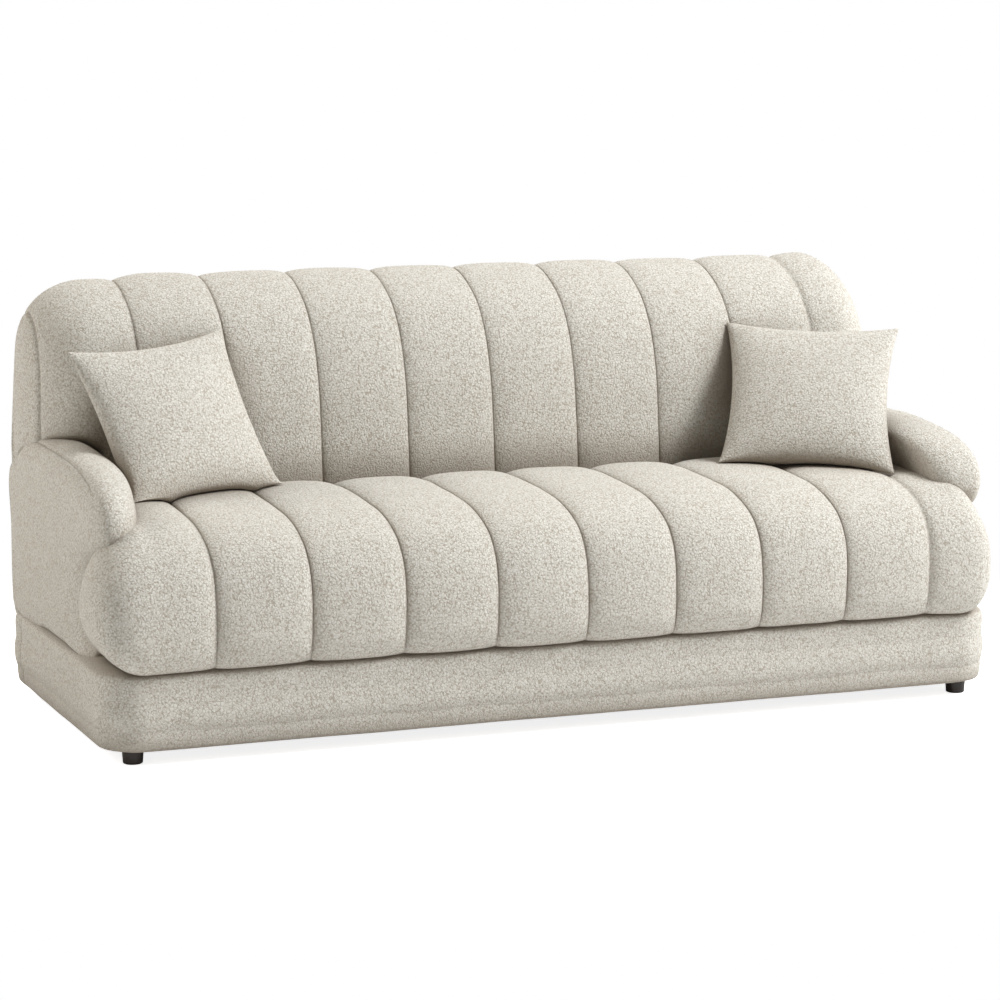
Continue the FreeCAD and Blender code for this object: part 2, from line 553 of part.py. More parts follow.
def pillow(inset, side):
    """Full in the middle and thin at the edges: four broad bows over a rounded square."""
    half = f"pillow / 2 - {inset}"
    square = prism("XZ", rectangle(half, half), "pillow", midplane=True)
    rounded(square, f"pillow_corner - {inset}",
            lambda box: box.YLength > 1 and box.XLength + box.ZLength < 0.01)
    bows = []
    for sign in ("-1", "1"):
        centre = f"{sign} * (pillow_bow - pillow_deep / 2)"
        bows.append(rod("x", f"pillow_bow - {inset}", "2 * pillow", "-1 * pillow", centre, "0"))
        bows.append(rod("z", f"pillow_bow - {inset}", "2 * pillow", "0", centre, "-1 * pillow"))
    cushion = join("MultiCommon", [square] + bows)
    turn = [size(f"{side}_{angle}") for angle in ("yaw", "pitch", "roll")]
    cushion.Placement = FreeCAD.Placement(FreeCAD.Vector(), FreeCAD.Rotation(*turn))
    put(cushion, f"{side}_x", f"{side}_y", f"{side}_z")
    return cushion


for side, _ in SIDES:
    keep(cut(pillow("0", side), pillow("pillow_skin", side)), f"pillow_cover_{side}")
    keep(pillow("(pillow_skin + 1)", side), f"pillow_filling_{side}")

doc.recompute()
for item in doc.Objects:
    if "Invalid" in item.State or "Error" in item.State:
        raise RuntimeError(f"{item.Name} ({item.Label}) did not build: {item.State}")
os.makedirs("parts", exist_ok=True)
for label, piece in pieces.items():
    shape = piece.Shape
    if shape.isNull() or not shape.isValid() or not shape.Solids:
        raise RuntimeError(f"{label} has no sound solid")
    shape.exportStep(f"parts/{label}.step")
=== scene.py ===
import math

import bmesh
import bpy
import numpy as np
from mathutils import Euler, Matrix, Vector, noise
from mathutils.bvhtree import BVHTree


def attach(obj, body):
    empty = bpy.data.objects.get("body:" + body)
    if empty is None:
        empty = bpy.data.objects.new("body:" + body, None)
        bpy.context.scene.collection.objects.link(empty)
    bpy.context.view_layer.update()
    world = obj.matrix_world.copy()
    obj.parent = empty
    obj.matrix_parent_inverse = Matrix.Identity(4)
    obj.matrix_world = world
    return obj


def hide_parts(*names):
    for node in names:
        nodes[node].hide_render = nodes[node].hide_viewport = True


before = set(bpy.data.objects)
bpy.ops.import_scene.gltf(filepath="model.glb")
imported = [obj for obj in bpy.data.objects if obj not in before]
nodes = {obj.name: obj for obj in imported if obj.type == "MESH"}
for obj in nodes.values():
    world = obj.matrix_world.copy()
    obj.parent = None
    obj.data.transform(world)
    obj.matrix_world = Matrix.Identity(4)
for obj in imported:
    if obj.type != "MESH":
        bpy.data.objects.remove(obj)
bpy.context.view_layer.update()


# Feet: four short round feet, moulded in dark brown plastic and screwed into the corner blocks.
# Their solids have the true taper, rounded rim and stud well, so they stay and get their finish here.
def linear(code):
    """An sRGB hex colour as the linear colour that a shader takes."""
    parts = [int(code[i:i + 2], 16) / 255 for i in (1, 3, 5)]
    return (*[c / 12.92 if c < 0.04045 else ((c + 0.055) / 1.055) ** 2.4 for c in parts], 1)


def add(tree, kind, inputs, **settings):
    """Adds a node, sets it, and gives its inputs their values or links."""
    made = tree.nodes.new(kind)
    for key, value in settings.items():
        setattr(made, key, value)
    for key, value in inputs.items():
        if isinstance(value, bpy.types.NodeSocket):
            tree.links.new(value, made.inputs[key])
        else:
            made.inputs[key].default_value = value
    return made


def new_finish(name):
    """An empty material, with its node tree and the coordinates of the piece that it is on."""
    made = bpy.data.materials.new(name)
    made.use_nodes = True
    made.node_tree.nodes.clear()
    place = add(made.node_tree, "ShaderNodeTexCoord", {}).outputs["Object"]
    return made, made.node_tree, place


def dress(finish, *names):
    """Gives kept solids their finish."""
    for name in names:
        for held in nodes[name].material_slots:
            held.material = finish


# Moulded polypropylene: near-black brown, a satin skin with a fine spark-eroded grain. The real grain is
# about 0.3 mm and is drawn at 1.2 mm so that it shows, with paler rubbed patches of three centimetres.
foot_plastic, tree, place = new_finish("moulded_polypropylene")
grain = add(tree, "ShaderNodeTexNoise", {"Vector": place, "Scale": 1 / 0.0012, "Detail": 2.0})
rubbed = add(tree, "ShaderNodeTexNoise", {"Vector": place, "Scale": 1 / 0.03, "Detail": 3.0})
tint = add(tree, "ShaderNodeMix", {0: rubbed.outputs["Fac"], 6: linear("#17110e"), 7: linear("#2c221c")},
           data_type="RGBA")
gloss = add(tree, "ShaderNodeMapRange", {"Value": rubbed.outputs["Fac"], "To Min": 0.34, "To Max": 0.52})
relief = add(tree, "ShaderNodeBump", {"Height": grain.outputs["Fac"], "Strength": 0.25, "Distance": 0.0003})
skin = add(tree, "ShaderNodeBsdfPrincipled", {"Base Color": tint.outputs[2], "Roughness": gloss.outputs[0],
                                              "Normal": relief.outputs[0], "IOR": 1.49})
add(tree, "ShaderNodeOutputMaterial", {"Surface": skin.outputs[0]})
dress(foot_plastic, "foot_front_left", "foot_front_right", "foot_rear_left", "foot_rear_right")


# Frame: planed pine rails, cross rails, corner blocks, arm rails and back posts, glued and stapled.
# All of it is hidden under the covers, so the solids stay, with the grain laid along each length.
pine_line, pine_run = 0.007, 0.30
for along, names in (
        ("x", ("base_front_rail", "base_rear_rail", "deck_rear_rail", "back_top_rail", "back_lower_slat",
               "back_upper_slat", "arm_spacers_left", "arm_spacers_right")),
        ("y", ("base_left_rail", "base_right_rail", "base_inner_rail_left", "base_inner_rail_right",
               "cross_rail_left", "cross_rail_centre", "cross_rail_right", "arm_top_rail_left",
               "arm_top_rail_right")),
        ("z", ("corner_block_front_left", "corner_block_front_right", "corner_block_rear_left",
               "corner_block_rear_right", "back_post_left", "back_post_right", "back_stile_left",
               "back_stile_right"))):
    # Planed pine: pale yellow, with long amber growth lines about 7 mm apart, which are a little smoother
    # than the rest and faintly raised.
    pine, tree, place = new_finish(f"planed_pine_along_{along}")
    stretch = [1 / (pine_run if axis == along else pine_line) for axis in "xyz"]
    lines = add(tree, "ShaderNodeVectorMath", {0: place, 1: stretch}, operation="MULTIPLY")
    growth = add(tree, "ShaderNodeTexNoise", {"Vector": lines.outputs[0], "Scale": 1.0, "Detail": 4.0,
                                              "Distortion": 0.6})
    late = add(tree, "ShaderNodeMapRange", {"Value": growth.outputs["Fac"], "From Min": 0.38,
                                            "From Max": 0.66})
    tint = add(tree, "ShaderNodeMix", {0: late.outputs[0], 6: linear("#dfc596"), 7: linear("#b98f58")},
               data_type="RGBA")
    dull = add(tree, "ShaderNodeMapRange", {"Value": late.outputs[0], "To Min": 0.70, "To Max": 0.52})
    relief = add(tree, "ShaderNodeBump", {"Height": late.outputs[0], "Strength": 0.3, "Distance": 0.0004})
    skin = add(tree, "ShaderNodeBsdfPrincipled", {"Base Color": tint.outputs[2], "Roughness": dull.outputs[0],
                                                  "Normal": relief.outputs[0]})
    add(tree, "ShaderNodeOutputMaterial", {"Surface": skin.outputs[0]})
    dress(pine, *names)


# Fixings: foot studs, tee nuts and the bolts of the arms and back, all bright zinc-plated steel.
# Zinc plating: grey steel with a faint straw tone in cloudy patches of 4 mm, duller where it is yellower.
zinc, tree, place = new_finish("zinc_plated_steel")
cloud = add(tree, "ShaderNodeTexNoise", {"Vector": place, "Scale": 1 / 0.004, "Detail": 3.0})
tint = add(tree, "ShaderNodeMix", {0: cloud.outputs["Fac"], 6: linear("#b4b6b8"), 7: linear("#cfc9b6")},
           data_type="RGBA")
dull = add(tree, "ShaderNodeMapRange", {"Value": cloud.outputs["Fac"], "To Min": 0.22, "To Max": 0.45})
skin = add(tree, "ShaderNodeBsdfPrincipled", {"Base Color": tint.outputs[2], "Roughness": dull.outputs[0],
                                              "Metallic": 1.0})
add(tree, "ShaderNodeOutputMaterial", {"Surface": skin.outputs[0]})
dress(zinc, "foot_studs", "foot_tee_nuts", "arm_bolts", "back_bolts")


# Seat deck: zigzag springs of hard-drawn wire, held to the rails by nylon-lined clips, under a felt pad.
# Spring wire: dark blue-grey oiled steel, smooth, with browner and duller spots of about 3 mm.
wire, tree, place = new_finish("drawn_spring_steel")
streak = add(tree, "ShaderNodeTexNoise", {"Vector": place, "Scale": 1 / 0.003, "Detail": 2.0})
tint = add(tree, "ShaderNodeMix", {0: streak.outputs["Fac"], 6: linear("#4c5158"), 7: linear("#6a645b")},
           data_type="RGBA")
dull = add(tree, "ShaderNodeMapRange", {"Value": streak.outputs["Fac"], "To Min": 0.28, "To Max": 0.48})
skin = add(tree, "ShaderNodeBsdfPrincipled", {"Base Color": tint.outputs[2], "Roughness": dull.outputs[0],
                                              "Metallic": 1.0})
add(tree, "ShaderNodeOutputMaterial", {"Surface": skin.outputs[0]})
dress(wire, "seat_springs")

# Clip nylon: milky off-white plastic with a low sheen and soft flow marks of 6 mm.
nylon, tree, place = new_finish("clip_nylon")
flow = add(tree, "ShaderNodeTexNoise", {"Vector": place, "Scale": 1 / 0.006, "Detail": 2.0})
tint = add(tree, "ShaderNodeMix", {0: flow.outputs["Fac"], 6: linear("#d9d6cb"), 7: linear("#e9e6dd")},
           data_type="RGBA")
skin = add(tree, "ShaderNodeBsdfPrincipled", {"Base Color": tint.outputs[2], "Roughness": 0.42, "IOR": 1.53,
                                              "Subsurface Weight": 0.1, "Subsurface Scale": 0.002})
add(tree, "ShaderNodeOutputMaterial", {"Surface": skin.outputs[0]})
dress(nylon, "spring_clips")

# Needled felt: reclaimed fibre in flecks of dark and pale grey 2.5 mm wide, matt and slightly lumpy.
felt, tree, place = new_finish("needled_felt")
fleck = add(tree, "ShaderNodeTexVoronoi", {"Vector": place, "Scale": 1 / 0.0025})
mixed = add(tree, "ShaderNodeMix", {0: fleck.outputs["Color"], 6: linear("#6f7073"), 7: linear("#a39f98")},
            data_type="RGBA")
lumps = add(tree, "ShaderNodeTexNoise", {"Vector": place, "Scale": 1 / 0.008, "Detail": 4.0})
relief = add(tree, "ShaderNodeBump", {"Height": lumps.outputs["Fac"], "Strength": 0.6, "Distance": 0.0015})
skin = add(tree, "ShaderNodeBsdfPrincipled", {"Base Color": mixed.outputs[2], "Roughness": 0.97,
                                              "Normal": relief.outputs[0], "Specular IOR Level": 0.1})
add(tree, "ShaderNodeOutputMaterial", {"Surface": skin.outputs[0]})
dress(felt, "spring_felt")


# Underside: a black non-woven cloth stapled under the base frame to keep dust out.
# Spunbond: charcoal black, thin matt fibres laid in all directions, pressed in small dots 3 mm apart.
spunbond, tree, place = new_finish("spunbond_cloth")
points = add(tree, "ShaderNodeTexVoronoi", {"Vector": place, "Scale": 1 / 0.003, "Randomness": 0.25})
laid = add(tree, "ShaderNodeTexNoise", {"Vector": place, "Scale": 1 / 0.012, "Detail": 6.0,
                                        "Distortion": 1.5})
tint = add(tree, "ShaderNodeMix", {0: laid.outputs["Fac"], 6: linear("#161617"), 7: linear("#323234")},
           data_type="RGBA")
relief = add(tree, "ShaderNodeBump", {"Height": points.outputs["Distance"], "Strength": 0.4,
                                      "Distance": 0.0004})
skin = add(tree, "ShaderNodeBsdfPrincipled", {"Base Color": tint.outputs[2], "Roughness": 0.86,
                                              "Normal": relief.outputs[0], "Specular IOR Level": 0.2})
add(tree, "ShaderNodeOutputMaterial", {"Surface": skin.outputs[0]})
dress(spunbond, "dust_cover")


# Panels: the arms' plywood sides, and a hardboard sheet behind the back.
# Birch plywood: creamy, flamed along the arm, with a brown band of glue through its thickness.
birch, tree, place = new_finish("birch_plywood")
lines = add(tree, "ShaderNodeVectorMath", {0: place, 1: (1 / 0.02, 1 / 0.25, 1 / 0.02)}, operation="MULTIPLY")
flame = add(tree, "ShaderNodeTexNoise", {"Vector": lines.outputs[0], "Scale": 1.0, "Detail": 4.0,
                                         "Distortion": 0.8})
tint = add(tree, "ShaderNodeMix", {0: flame.outputs["Fac"], 6: linear("#e6cfa6"), 7: linear("#cdaa77")},
           data_type="RGBA")
plies = add(tree, "ShaderNodeTexWave", {"Vector": place, "Scale": 1 / 0.060}, bands_direction="X")
glue = add(tree, "ShaderNodeMapRange", {"Value": plies.outputs["Fac"], "From Min": 0.8, "From Max": 1.0,
                                        "To Max": 0.5})
tint = add(tree, "ShaderNodeMix", {0: glue.outputs[0], 6: tint.outputs[2], 7: linear("#8a6138")},
           data_type="RGBA")
relief = add(tree, "ShaderNodeBump", {"Height": flame.outputs["Fac"], "Strength": 0.2, "Distance": 0.0003})
skin = add(tree, "ShaderNodeBsdfPrincipled", {"Base Color": tint.outputs[2], "Roughness": 0.58,
                                              "Normal": relief.outputs[0]})
add(tree, "ShaderNodeOutputMaterial", {"Surface": skin.outputs[0]})
dress(birch, "arm_outer_panel_left", "arm_outer_panel_right", "arm_inner_panel_left", "arm_inner_panel_right")

# Hardboard: dense brown pressed fibre, smooth with a dull shine and darker specks of 2 mm.
hardboard, tree, place = new_finish("pressed_hardboard")
pulp = add(tree, "ShaderNodeTexNoise", {"Vector": place, "Scale": 1 / 0.002, "Detail": 5.0})
tint = add(tree, "ShaderNodeMix", {0: pulp.outputs["Fac"], 6: linear("#5d4128"), 7: linear("#8f6b47")},
           data_type="RGBA")
relief = add(tree, "ShaderNodeBump", {"Height": pulp.outputs["Fac"], "Strength": 0.2, "Distance": 0.0003})
skin = add(tree, "ShaderNodeBsdfPrincipled", {"Base Color": tint.outputs[2], "Roughness": 0.5,
                                              "Normal": relief.outputs[0]})
add(tree, "ShaderNodeOutputMaterial", {"Surface": skin.outputs[0]})
dress(hardboard, "back_board")

# Elastic webbing: a woven jute-coloured band with broad slanting stripes of dark rubber thread.
webbing, tree, place = new_finish("elastic_webbing")
ribs = add(tree, "ShaderNodeTexWave", {"Vector": place, "Scale": 1 / 0.080, "Distortion": 0.6},
           bands_direction="DIAGONAL")
tint = add(tree, "ShaderNodeMix", {0: ribs.outputs["Fac"], 6: linear("#4b4338"), 7: linear("#b7a27d")},
           data_type="RGBA")
relief = add(tree, "ShaderNodeBump", {"Height": ribs.outputs["Fac"], "Strength": 0.5, "Distance": 0.0008})
skin = add(tree, "ShaderNodeBsdfPrincipled", {"Base Color": tint.outputs[2], "Roughness": 0.9,
                                              "Normal": relief.outputs[0], "Specular IOR Level": 0.15})
add(tree, "ShaderNodeOutputMaterial", {"Surface": skin.outputs[0]})
dress(webbing, "back_webbing")


# Plinth cover: one band of curly boucle round the base frame over a layer of wadding, closed with an upright
# seam near the back of each end, turned under the rails at the bottom and stapled.
def ramp(value, start, span):
    """How far a value is along a span, from 0 at its start to 1 at its end."""
    return np.clip((value - start) / span, 0, 1)


def smooth(part):
    """A ramp that starts and ends gently."""
    return part * part * (3 - 2 * part)


def through(points, steps, closed=False):
    """A smooth line through the points, cut into the given steps between each two."""
    p = np.array(points, float)
    before, after = np.roll(p, 1, 0), np.roll(p, -1, 0)
    if not closed:
        before[0], after[-1] = 2 * p[0] - p[1], 2 * p[-1] - p[-2]
    gone = np.linalg.norm((p - before)[:, :2], axis=1)[:, None]
    next_to = np.linalg.norm((after - p)[:, :2], axis=1)[:, None]
    slope = ((after - p) / next_to * gone + (p - before) / gone * next_to) / (next_to + gone)
    line = []
    for i, count in enumerate(steps):
        j = (i + 1) % len(p)
        t = np.linspace(0, 1, count, endpoint=False)[:, None]
        start = (2 * t ** 3 - 3 * t ** 2 + 1) * p[i] + (t ** 3 - 2 * t ** 2 + t) * next_to[i] * slope[i]
        end = (3 * t ** 2 - 2 * t ** 3) * p[j] + (t ** 3 - t ** 2) * next_to[i] * slope[j]
        line.append(start + end)
    if not closed:
        line.append(p[-1:])
    return np.vstack(line)


def skin_of(name, rings, caps=None, wrap=False, sewn=()):
    """A closed skin over rings of points, sharp along the sewn ones. Each end ring, of an even number, is
    closed by an oval that stands proud in X by caps = (first, last), or the last ring meets the first."""
    oval_size, oval_steps, oval_columns = 0.3, (0.15, 0.32, 0.5, 0.75, 1.0), 6
    count, size = len(rings), len(rings[0])
    points = [tuple(p) for ring in rings for p in ring]
    faces = []
    for i in range(count if wrap else count - 1):
        a, b = i * size, (i + 1) % count * size
        for j in range(size):
            k = (j + 1) % size
            faces.append((a + j, b + j, b + k, a + k))
    for ring, proud in zip((0, count - 1), caps or ()):
        loop, last, half = np.array(rings[ring]), ring * size, size // 2
        middle, reach = (loop.min(0) + loop.max(0)) / 2, np.ptp(loop[:, 1:], axis=0) / 2
        way = (loop - middle)[:, 1:] / reach
        oval = np.column_stack([np.full(size, middle[0] + proud),
                                middle[1:] + oval_size * reach * way / np.linalg.norm(way, axis=1)[:, None]])
        for t in oval_steps:
            inner = loop + (oval - loop) * t
            inner[:, 0] = loop[:, 0] + (oval - loop)[:, 0] * t * (2 - t)
            first = len(points)
            points += [tuple(p) for p in inner]
            for j in range(size):
                k = (j + 1) % size
                faces.append((last + j, first + j, first + k, last + k))
            last = first
        rows = [[last]]
        for k in range(1, half):
            between = [len(points) + c for c in range(oval_columns - 1)]
            points += [tuple(oval[k] + (oval[size - k] - oval[k]) * c / oval_columns)
                       for c in range(1, oval_columns)]
            rows.append([last + k] + between + [last + size - k])
        rows.append([last + half])
        for low, high in zip(rows[1:-2], rows[2:-1]):
            faces += [(low[c], low[c + 1], high[c + 1], high[c]) for c in range(oval_columns)]
        faces += [(rows[0][0], rows[1][c + 1], rows[1][c]) for c in range(oval_columns)]
        faces += [(rows[-1][0], rows[-2][c], rows[-2][c + 1]) for c in range(oval_columns)]
    mesh = bpy.data.meshes.new(name)
    mesh.from_pydata(points, [], faces)
    work = bmesh.new()
    work.from_mesh(mesh)
    bmesh.ops.recalc_face_normals(work, faces=work.faces)
    work.to_mesh(mesh)
    work.free()
    mesh.polygons.foreach_set("use_smooth", [True] * len(mesh.polygons))
    ring_of = np.array([e.vertices[:] for e in mesh.edges]) // size
    sharp = (ring_of[:, 0] == ring_of[:, 1]) & np.isin(ring_of[:, 0], sewn)
    mesh.attributes.new("crease_edge", "FLOAT", "EDGE").data.foreach_set("value", sharp.astype(float))
    made = bpy.data.objects.new(name, mesh)
    bpy.context.collection.objects.link(made)
    return made


def slacken(piece, amount, span):
    """Lets a skin rise and fall a little over the given span, as hand-filled upholstery does."""
    mesh = piece.data
    at = np.array([v.co for v in mesh.vertices])
    way = np.array([v.normal for v in mesh.vertices])
    swell = np.array([noise.noise(p / span) for p in at])
    mesh.vertices.foreach_set("co", (at + way * (amount * swell)[:, None]).ravel())
    mesh.update()


def cover(piece, finish, body, fill, *stands_for):
    """Finishes an upholstered piece: one subdivision, its cloth, its body and what it stands for."""
    piece.data.materials.append(finish)
    rounding = piece.modifiers.new("rounding", "SUBSURF")
    rounding.levels = 1
    rounding.render_levels = 1
    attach(piece, body)
    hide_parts(*stands_for)


# Boucle: a knit of looped wool and polyester yarn, warm greige cream and fully matt. The loops stand so close
# that the eye sees a pale ground crossed by short dark lines, the gaps that wander between the curls; the
# darker colour in those gaps is painted shade.
# Curls of 6 mm and longer runs of 10 mm set the gaps, and the fibres, too fine to show, are drawn at 1.8 mm.
# Painted shade: towards creases and where parts meet, the cloth's colour goes darker by how closed in each
# point is, for the shade that falls there.
boucle, tree, place = new_finish("looped_boucle")
stray = add(tree, "ShaderNodeTexNoise", {"Vector": place, "Scale": 1 / 0.0060, "Detail": 1.0})
swing = add(tree, "ShaderNodeVectorMath", {0: stray.outputs["Color"], 1: (0.5, 0.5, 0.5)},
            operation="SUBTRACT")
curled = add(tree, "ShaderNodeVectorMath", {0: swing.outputs[0], 1: (0.007, 0.007, 0.007), 2: place},
             operation="MULTIPLY_ADD")
curls = add(tree, "ShaderNodeTexVoronoi", {"Vector": curled.outputs[0], "Scale": 1 / 0.0058},
            feature="DISTANCE_TO_EDGE")
mound = add(tree, "ShaderNodeMapRange", {"Value": curls.outputs["Distance"], "From Max": 0.24},
            interpolation_type="SMOOTHSTEP")
drift = add(tree, "ShaderNodeTexNoise", {"Vector": curled.outputs[0], "Scale": 1 / 0.010, "Detail": 0.0})
off = add(tree, "ShaderNodeMath", {0: drift.outputs["Fac"], 1: 0.5}, operation="SUBTRACT")
off = add(tree, "ShaderNodeMath", {0: off.outputs[0]}, operation="ABSOLUTE")
run = add(tree, "ShaderNodeMapRange", {"Value": off.outputs[0], "From Max": 0.05},
          interpolation_type="SMOOTHSTEP")
pile = add(tree, "ShaderNodeMath", {0: mound.outputs[0], 1: run.outputs[0]}, operation="MINIMUM")
breaks = add(tree, "ShaderNodeTexNoise", {"Vector": place, "Scale": 1 / 0.0045, "Detail": 0.0})
shown = add(tree, "ShaderNodeMapRange", {"Value": breaks.outputs["Fac"], "From Min": 0.36, "From Max": 0.62,
                                         "To Min": 0.90, "To Max": 0.35})
gaps = add(tree, "ShaderNodeMath", {0: 1.0, 1: pile.outputs[0]}, operation="SUBTRACT")
gaps = add(tree, "ShaderNodeMath", {0: gaps.outputs[0], 1: shown.outputs[0]}, operation="MULTIPLY")
fibre = add(tree, "ShaderNodeTexNoise", {"Vector": place, "Scale": 1 / 0.0018, "Detail": 1.0})
nap = add(tree, "ShaderNodeMath", {0: fibre.outputs["Fac"], 1: 0.35}, operation="MULTIPLY")
height = add(tree, "ShaderNodeMath", {0: nap.outputs[0], 1: gaps.outputs[0]}, operation="SUBTRACT")
lots = add(tree, "ShaderNodeTexNoise", {"Vector": place, "Scale": 1 / 0.05, "Detail": 3.0})
yarn = add(tree, "ShaderNodeMix", {0: lots.outputs["Fac"], 6: linear("#dcd9d0"), 7: linear("#e3e0d8")},
           data_type="RGBA")
# Painted shade: the gaps between the curls take a darker, warmer colour for the shade that falls in them.
tint = add(tree, "ShaderNodeMix", {0: gaps.outputs[0], 6: yarn.outputs[2], 7: linear("#aca08e")},
           data_type="RGBA")
# Painted shade: ambient occlusion darkens the colour towards #9d9385 in creases and between parts.
crease = add(tree, "ShaderNodeAmbientOcclusion", {"Distance": 0.09}, samples=4)
shade = add(tree, "ShaderNodeMapRange", {"Value": crease.outputs["AO"], "From Min": 0.45, "From Max": 0.95,
                                         "To Min": 1.0, "To Max": 0.0})
crease_painted_shade = add(tree, "ShaderNodeMix", {0: shade.outputs[0], 6: tint.outputs[2], 7: linear("#9d9385")},
              data_type="RGBA")
relief = add(tree, "ShaderNodeBump", {"Height": height.outputs[0], "Strength": 0.6, "Distance": 0.0020})
skin = add(tree, "ShaderNodeBsdfPrincipled", {"Base Color": crease_painted_shade.outputs[2], "Roughness": 0.95,
                                              "Normal": relief.outputs[0], "Specular IOR Level": 0.15,
                                              "Sheen Weight": 0.15, "Sheen Roughness": 0.5})
add(tree, "ShaderNodeOutputMaterial", {"Surface": skin.outputs[0]})

base_half = (0.9515, 0.400)
base_round = 0.080
base_seam, base_groove = 0.280, 0.004
corner_x, corner_y = base_half[0] - base_round, base_half[1] - base_round
front_wall = np.linspace(-1, 1, 60) * corner_x
end_wall = np.r_[np.linspace(-0.31, base_seam - 0.012, 26), base_seam - 0.004, base_seam, base_seam + 0.004,
                 0.30]
plan = []
for quarter, wall, corner in (
        (-1, [(x, -base_half[1], 0) for x in front_wall], (corner_x, -corner_y)),
        (0, [(base_half[0], y, y == base_seam) for y in end_wall], (corner_x, corner_y)),
        (1, [(x, base_half[1], 0) for x in front_wall[::-1]], (-corner_x, corner_y)),
        (2, [(-base_half[0], y, y == base_seam) for y in end_wall[::-1]], (-corner_x, -corner_y))):
    start = quarter * math.pi / 2
    plan += [(x, y, round(math.cos(start)), round(math.sin(start)), sewn) for x, y, sewn in wall]
    for a in start + np.linspace(0, math.pi / 2, 13):
        nx, ny = math.cos(a), math.sin(a)
        plan.append((corner[0] + base_round * nx, corner[1] + base_round * ny, nx, ny, 0))
# The band's section, as distance out and height: under the rail, up the face, in at the top, back inside.
band = through([
    (-0.090, 0.0280), (-0.012, 0.0280), (-0.0030, 0.0310), (0.0010, 0.044), (0.002, 0.075), (0.003, 0.105),
    (0.004, 0.135), (0.0042, 0.158), (0.0028, 0.1690), (-0.0015, 0.1750), (-0.055, 0.1762), (-0.055, 0.1735),
    (-0.022, 0.1735), (-0.0045, 0.150), (-0.0045, 0.050), (-0.022, 0.0312), (-0.090, 0.0312)],
    [3, 3, 4, 4, 4, 4, 4, 3, 3, 3, 2, 2, 2, 5, 2, 3, 2], closed=True)
face_from = -0.003
rings = []
for x, y, nx, ny, sewn in plan:
    out = band[:, 0] - base_groove * sewn * (band[:, 0] > face_from)
    rings.append(np.column_stack([x + nx * out, y + ny * out, band[:, 1]]))
plinth = skin_of("plinth_cover", rings, wrap=True, sewn=[i for i, p in enumerate(plan) if p[4]])
slacken(plinth, 0.0010, 0.11)
cover(plinth, boucle, "sofa", 0.5, "base_cover", "base_wadding")


# Seat: one T-shaped foam cushion under a cover sewn into ten channels, fixed to the base. Its front roll runs
# past both arms and ends in a round dome on each side.
def outward(loop):
    """The direction out of a closed line, at each of its points."""
    t = np.roll(loop, -1, 0) - np.roll(loop, 1, 0)
    n = np.column_stack([-t[:, 1], t[:, 0]])
    return n / np.linalg.norm(n, axis=1)[:, None]


def fullness(x, seams, channel):
    """How far a channelled cushion rises between its seams, from 0 on a seam to 1 in mid channel."""
    crown, bank = 2.6, 0.52
    q = np.clip(np.min([abs(x - s) for s in seams], axis=0) / (channel / 2), 0, 1)
    return (1 - (1 - q) ** crown) ** bank


def across_channels(seams, steps):
    """Places along X from the first seam to the last, close together beside each seam."""
    s = np.sin(np.linspace(-1, 1, steps, endpoint=False) * math.pi / 2)
    return np.r_[tuple((a + b) / 2 + (b - a) / 2 * s for a, b in zip(seams[:-1], seams[1:])) + (seams[-1],)]


channel = 0.1906
seams = [-0.738 + channel * k for k in range(9)]
seat_rise = 0.015
dome_from, dome_ends, dome_powers = 0.872, (0.968, 0.953), (2.9, 2.0)
dome_middle = np.array([-0.312, 0.292])
roll_from, roll_span = 0.835, 0.050
lobe_power = 1.3
# The seat's sections, as Y, Z and the share of a channel's rise: the first between the arms, the second
# for the roll in front of them. Both start with the same front.
near_front = [(-0.384, 0.1785, 0), (-0.401, 0.185, 0.5), (-0.411, 0.210, 0.9), (-0.416, 0.260, 1),
              (-0.414, 0.310, 1), (-0.401, 0.357, 1), (-0.371, 0.395, 1)]
seat_loop = through(near_front + [
    (-0.330, 0.418, 1), (-0.270, 0.437, 1), (-0.200, 0.4455, 1), (-0.110, 0.452, 1), (-0.020, 0.4545, 1),
    (0.048, 0.447, 1), (0.076, 0.430, 0.7), (0.082, 0.400, 0), (0.082, 0.250, 0), (0.060, 0.1785, 0),
    (-0.100, 0.1785, 0), (-0.250, 0.1785, 0)],
    [4, 4, 6, 6, 6, 6, 6, 8, 8, 9, 9, 8, 6, 4, 4, 4, 4, 4, 4], closed=True)
roll_loop = through(near_front + [
    (-0.337, 0.422, 1), (-0.300, 0.433, 1), (-0.265, 0.418, 1), (-0.235, 0.376, 1), (-0.217, 0.328, 1),
    (-0.209, 0.285, 1), (-0.210, 0.250, 1), (-0.219, 0.222, 0.8), (-0.236, 0.195, 0.4), (-0.258, 0.1785, 0),
    (-0.290, 0.1785, 0), (-0.330, 0.1785, 0)],
    [4, 4, 6, 6, 6, 6, 6, 8, 8, 9, 9, 8, 6, 4, 4, 4, 4, 4, 4], closed=True)
end_steps = np.linspace(0, 1, 13)
left_part = np.sin(np.linspace(1, 0, 12, endpoint=False) * math.pi / 2) ** lobe_power
right_part = np.sin(np.linspace(0, 1, 10)[1:] * math.pi / 2) ** lobe_power
left_lobe = seams[0] - (dome_from + seams[0]) * left_part
right_lobe = seams[-1] + (dome_from - seams[-1]) * right_part
places = [(-dome_ends[0] + (dome_ends[0] - dome_from) * w, w) for w in end_steps[1:-1] ** 2]
places += [(x, 1) for x in np.r_[left_lobe, across_channels(seams, 22), right_lobe]]
places += [(dome_ends[1] - (dome_ends[1] - dome_from) * w, w) for w in end_steps[-2:0:-1] ** 2]
rings = []
